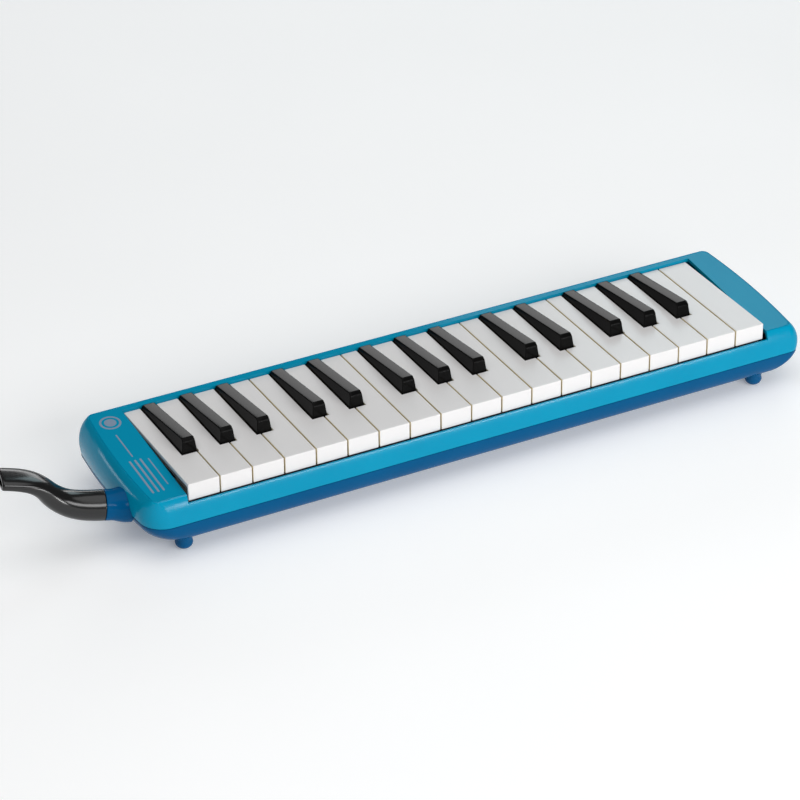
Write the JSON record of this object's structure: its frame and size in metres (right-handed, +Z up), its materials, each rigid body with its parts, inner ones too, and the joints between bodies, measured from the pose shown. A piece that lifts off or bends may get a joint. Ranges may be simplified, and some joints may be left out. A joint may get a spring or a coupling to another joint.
{
  "type": "melodica",
  "caption": "Keyboard wind instrument: a slim blue two-part housing with sprung white and black keys over a reed block, on four short feet, with a curved black mouthpiece at the bass end.",
  "frame": {"origin": "middle of the footprint, on the surface that the feet stand on", "axes": "+X along the keys from bass to treble, +Y from the player to the rear, +Z up"},
  "size_m": [0.4672, 0.0974, 0.0528],
  "materials": {
    "housing_upper": "smooth glossy blue",
    "housing_lower": "smooth glossy deep blue",
    "feet": "smooth deep blue",
    "white_keys": "satin off-white",
    "black_keys": "polished black",
    "mouthpiece": "polished black",
    "drain_button": "polished black",
    "reed_block": "moulded, pale grey",
    "wind_chamber": "moulded, pale grey",
    "reed_brass": "rolled sheet",
    "steel": "drawn and zinc plated",
    "spring_steel": "stamped sheet and wire",
    "seal": "soft matt",
    "felt": "pressed wool felt"
  },
  "bodies": {
    "body": {"upper_housing": "housing_upper", "lower_housing": "housing_lower", "air_inlet_socket": "housing_lower", "inlet_gasket": "seal", "wind_chamber": "wind_chamber", "reed_block": "reed_block", "reed_gasket": "seal", "reed_plate_bass": "reed_brass", "reed_plate_treble": "reed_brass", "key_axle": "steel", "spring_comb": "spring_steel", "key_felt": "felt", "drain_spring": "spring_steel", "foot_front_left": "feet", "foot_front_right": "feet", "foot_rear_left": "feet", "foot_rear_right": "feet", "housing_screw_left_front": "steel", "housing_screw_left_rear": "steel", "housing_screw_right_front": "steel", "housing_screw_right_rear": "steel", "comb_screw_bass": "steel", "comb_screw_treble": "steel"},
    "white_key_01": {"white_key_01": "white_keys"},
    "white_key_02": {"white_key_02": "white_keys"},
    "white_key_03": {"white_key_03": "white_keys"},
    "white_key_04": {"white_key_04": "white_keys"},
    "white_key_05": {"white_key_05": "white_keys"},
    "white_key_06": {"white_key_06": "white_keys"},
    "white_key_07": {"white_key_07": "white_keys"},
    "white_key_08": {"white_key_08": "white_keys"},
    "white_key_09": {"white_key_09": "white_keys"},
    "white_key_10": {"white_key_10": "white_keys"},
    "white_key_11": {"white_key_11": "white_keys"},
    "white_key_12": {"white_key_12": "white_keys"},
    "white_key_13": {"white_key_13": "white_keys"},
    "white_key_14": {"white_key_14": "white_keys"},
    "white_key_15": {"white_key_15": "white_keys"},
    "white_key_16": {"white_key_16": "white_keys"},
    "white_key_17": {"white_key_17": "white_keys"},
    "white_key_18": {"white_key_18": "white_keys"},
    "white_key_19": {"white_key_19": "white_keys"},
    "black_key_01": {"black_key_01": "black_keys"},
    "black_key_02": {"black_key_02": "black_keys"},
    "black_key_03": {"black_key_03": "black_keys"},
    "black_key_04": {"black_key_04": "black_keys"},
    "black_key_05": {"black_key_05": "black_keys"},
    "black_key_06": {"black_key_06": "black_keys"},
    "black_key_07": {"black_key_07": "black_keys"},
    "black_key_08": {"black_key_08": "black_keys"},
    "black_key_09": {"black_key_09": "black_keys"},
    "black_key_10": {"black_key_10": "black_keys"},
    "black_key_11": {"black_key_11": "black_keys"},
    "black_key_12": {"black_key_12": "black_keys"},
    "black_key_13": {"black_key_13": "black_keys"},
    "mouthpiece_ring": {"mouthpiece_seal": "seal"},
    "mouthpiece": {"mouthpiece": "mouthpiece"},
    "drain_button": {"drain_button": "drain_button", "drain_valve_pad": "seal"}
  },
  "joints": [
    {"name": "white_key_01_pivot", "type": "hinge", "parent": "body", "child": "white_key_01", "pos_m": [-0.13925, 0.01925, 0.032], "axis": [1, 0, 0], "range_deg": [0, 4.5], "stiffness_Nm_per_rad": 0.15, "springref_deg": -7.45},
    {"name": "white_key_02_pivot", "type": "hinge", "parent": "body", "child": "white_key_02", "pos_m": [-0.11875, 0.01925, 0.032], "axis": [1, 0, 0], "range_deg": [0, 4.5], "stiffness_Nm_per_rad": 0.15, "springref_deg": -7.45},
    {"name": "white_key_03_pivot", "type": "hinge", "parent": "body", "child": "white_key_03", "pos_m": [-0.09715, 0.01925, 0.032], "axis": [1, 0, 0], "range_deg": [0, 4.5], "stiffness_Nm_per_rad": 0.15, "springref_deg": -7.45},
    {"name": "white_key_04_pivot", "type": "hinge", "parent": "body", "child": "white_key_04", "pos_m": [-0.07615, 0.01925, 0.032], "axis": [1, 0, 0], "range_deg": [0, 4.5], "stiffness_Nm_per_rad": 0.15, "springref_deg": -7.45},
    {"name": "white_key_05_pivot", "type": "hinge", "parent": "body", "child": "white_key_05", "pos_m": [-0.0643, 0.01925, 0.032], "axis": [1, 0, 0], "range_deg": [0, 4.5], "stiffness_Nm_per_rad": 0.15, "springref_deg": -7.45},
    {"name": "white_key_06_pivot", "type": "hinge", "parent": "body", "child": "white_key_06", "pos_m": [-0.0428, 0.01925, 0.032], "axis": [1, 0, 0], "range_deg": [0, 4.5], "stiffness_Nm_per_rad": 0.15, "springref_deg": -7.45},
    {"name": "white_key_07_pivot", "type": "hinge", "parent": "body", "child": "white_key_07", "pos_m": [-0.02105, 0.01925, 0.032], "axis": [1, 0, 0], "range_deg": [0, 4.5], "stiffness_Nm_per_rad": 0.15, "springref_deg": -7.45},
    {"name": "white_key_08_pivot", "type": "hinge", "parent": "body", "child": "white_key_08", "pos_m": [-0.00975, 0.01925, 0.032], "axis": [1, 0, 0], "range_deg": [0, 4.5], "stiffness_Nm_per_rad": 0.15, "springref_deg": -7.45},
    {"name": "white_key_09_pivot", "type": "hinge", "parent": "body", "child": "white_key_09", "pos_m": [0.01075, 0.01925, 0.032], "axis": [1, 0, 0], "range_deg": [0, 4.5], "stiffness_Nm_per_rad": 0.15, "springref_deg": -7.45},
    {"name": "white_key_10_pivot", "type": "hinge", "parent": "body", "child": "white_key_10", "pos_m": [0.03235, 0.01925, 0.032], "axis": [1, 0, 0], "range_deg": [0, 4.5], "stiffness_Nm_per_rad": 0.15, "springref_deg": -7.45},
    {"name": "white_key_11_pivot", "type": "hinge", "parent": "body", "child": "white_key_11", "pos_m": [0.05335, 0.01925, 0.032], "axis": [1, 0, 0], "range_deg": [0, 4.5], "stiffness_Nm_per_rad": 0.15, "springref_deg": -7.45},
    {"name": "white_key_12_pivot", "type": "hinge", "parent": "body", "child": "white_key_12", "pos_m": [0.0652, 0.01925, 0.032], "axis": [1, 0, 0], "range_deg": [0, 4.5], "stiffness_Nm_per_rad": 0.15, "springref_deg": -7.45},
    {"name": "white_key_13_pivot", "type": "hinge", "parent": "body", "child": "white_key_13", "pos_m": [0.0867, 0.01925, 0.032], "axis": [1, 0, 0], "range_deg": [0, 4.5], "stiffness_Nm_per_rad": 0.15, "springref_deg": -7.45},
    {"name": "white_key_14_pivot", "type": "hinge", "parent": "body", "child": "white_key_14", "pos_m": [0.10845, 0.01925, 0.032], "axis": [1, 0, 0], "range_deg": [0, 4.5], "stiffness_Nm_per_rad": 0.15, "springref_deg": -7.45},
    {"name": "white_key_15_pivot", "type": "hinge", "parent": "body", "child": "white_key_15", "pos_m": [0.11975, 0.01925, 0.032], "axis": [1, 0, 0], "range_deg": [0, 4.5], "stiffness_Nm_per_rad": 0.15, "springref_deg": -7.45},
    {"name": "white_key_16_pivot", "type": "hinge", "parent": "body", "child": "white_key_16", "pos_m": [0.14025, 0.01925, 0.032], "axis": [1, 0, 0], "range_deg": [0, 4.5], "stiffness_Nm_per_rad": 0.15, "springref_deg": -7.45},
    {"name": "white_key_17_pivot", "type": "hinge", "parent": "body", "child": "white_key_17", "pos_m": [0.16185, 0.01925, 0.032], "axis": [1, 0, 0], "range_deg": [0, 4.5], "stiffness_Nm_per_rad": 0.15, "springref_deg": -7.45},
    {"name": "white_key_18_pivot", "type": "hinge", "parent": "body", "child": "white_key_18", "pos_m": [0.18285, 0.01925, 0.032], "axis": [1, 0, 0], "range_deg": [0, 4.5], "stiffness_Nm_per_rad": 0.15, "springref_deg": -7.45},
    {"name": "white_key_19_pivot", "type": "hinge", "parent": "body", "child": "white_key_19", "pos_m": [0.19795, 0.01925, 0.032], "axis": [1, 0, 0], "range_deg": [0, 4.5], "stiffness_Nm_per_rad": 0.15, "springref_deg": -7.45},
    {"name": "black_key_01_pivot", "type": "hinge", "parent": "body", "child": "black_key_01", "pos_m": [-0.1297, 0.01925, 0.032], "axis": [1, 0, 0], "range_deg": [0, 4.5], "stiffness_Nm_per_rad": 0.15, "springref_deg": -7.45},
    {"name": "black_key_02_pivot", "type": "hinge", "parent": "body", "child": "black_key_02", "pos_m": [-0.1078, 0.01925, 0.032], "axis": [1, 0, 0], "range_deg": [0, 4.5], "stiffness_Nm_per_rad": 0.15, "springref_deg": -7.45},
    {"name": "black_key_03_pivot", "type": "hinge", "parent": "body", "child": "black_key_03", "pos_m": [-0.0865, 0.01925, 0.032], "axis": [1, 0, 0], "range_deg": [0, 4.5], "stiffness_Nm_per_rad": 0.15, "springref_deg": -7.45},
    {"name": "black_key_04_pivot", "type": "hinge", "parent": "body", "child": "black_key_04", "pos_m": [-0.0538, 0.01925, 0.032], "axis": [1, 0, 0], "range_deg": [0, 4.5], "stiffness_Nm_per_rad": 0.15, "springref_deg": -7.45},
    {"name": "black_key_05_pivot", "type": "hinge", "parent": "body", "child": "black_key_05", "pos_m": [-0.0318, 0.01925, 0.032], "axis": [1, 0, 0], "range_deg": [0, 4.5], "stiffness_Nm_per_rad": 0.15, "springref_deg": -7.45},
    {"name": "black_key_06_pivot", "type": "hinge", "parent": "body", "child": "black_key_06", "pos_m": [-0.0002, 0.01925, 0.032], "axis": [1, 0, 0], "range_deg": [0, 4.5], "stiffness_Nm_per_rad": 0.15, "springref_deg": -7.45},
    {"name": "black_key_07_pivot", "type": "hinge", "parent": "body", "child": "black_key_07", "pos_m": [0.0217, 0.01925, 0.032], "axis": [1, 0, 0], "range_deg": [0, 4.5], "stiffness_Nm_per_rad": 0.15, "springref_deg": -7.45},
    {"name": "black_key_08_pivot", "type": "hinge", "parent": "body", "child": "black_key_08", "pos_m": [0.043, 0.01925, 0.032], "axis": [1, 0, 0], "range_deg": [0, 4.5], "stiffness_Nm_per_rad": 0.15, "springref_deg": -7.45},
    {"name": "black_key_09_pivot", "type": "hinge", "parent": "body", "child": "black_key_09", "pos_m": [0.0757, 0.01925, 0.032], "axis": [1, 0, 0], "range_deg": [0, 4.5], "stiffness_Nm_per_rad": 0.15, "springref_deg": -7.45},
    {"name": "black_key_10_pivot", "type": "hinge", "parent": "body", "child": "black_key_10", "pos_m": [0.0977, 0.01925, 0.032], "axis": [1, 0, 0], "range_deg": [0, 4.5], "stiffness_Nm_per_rad": 0.15, "springref_deg": -7.45},
    {"name": "black_key_11_pivot", "type": "hinge", "parent": "body", "child": "black_key_11", "pos_m": [0.1293, 0.01925, 0.032], "axis": [1, 0, 0], "range_deg": [0, 4.5], "stiffness_Nm_per_rad": 0.15, "springref_deg": -7.45},
    {"name": "black_key_12_pivot", "type": "hinge", "parent": "body", "child": "black_key_12", "pos_m": [0.1512, 0.01925, 0.032], "axis": [1, 0, 0], "range_deg": [0, 4.5], "stiffness_Nm_per_rad": 0.15, "springref_deg": -7.45},
    {"name": "black_key_13_pivot", "type": "hinge", "parent": "body", "child": "black_key_13", "pos_m": [0.1725, 0.01925, 0.032], "axis": [1, 0, 0], "range_deg": [0, 4.5], "stiffness_Nm_per_rad": 0.15, "springref_deg": -7.45},
    {"name": "mouthpiece_pull", "type": "slide", "parent": "body", "child": "mouthpiece_ring", "axis": [-0.9733, 0.1891, 0.13], "range_m": [0, 0.012]},
    {"name": "mouthpiece_swivel", "type": "hinge", "parent": "mouthpiece_ring", "child": "mouthpiece", "pos_m": [-0.1798, -0.01675, 0.024], "axis": [-0.9733, 0.1891, 0.13], "continuous": true},
    {"name": "drain_push", "type": "slide", "parent": "body", "child": "drain_button", "axis": [-1, 0, 0], "range_m": [0, 0.003], "stiffness_N_per_m": 250, "springref_m": -0.003, "deforming": ["drain_spring"]}
  ]
}
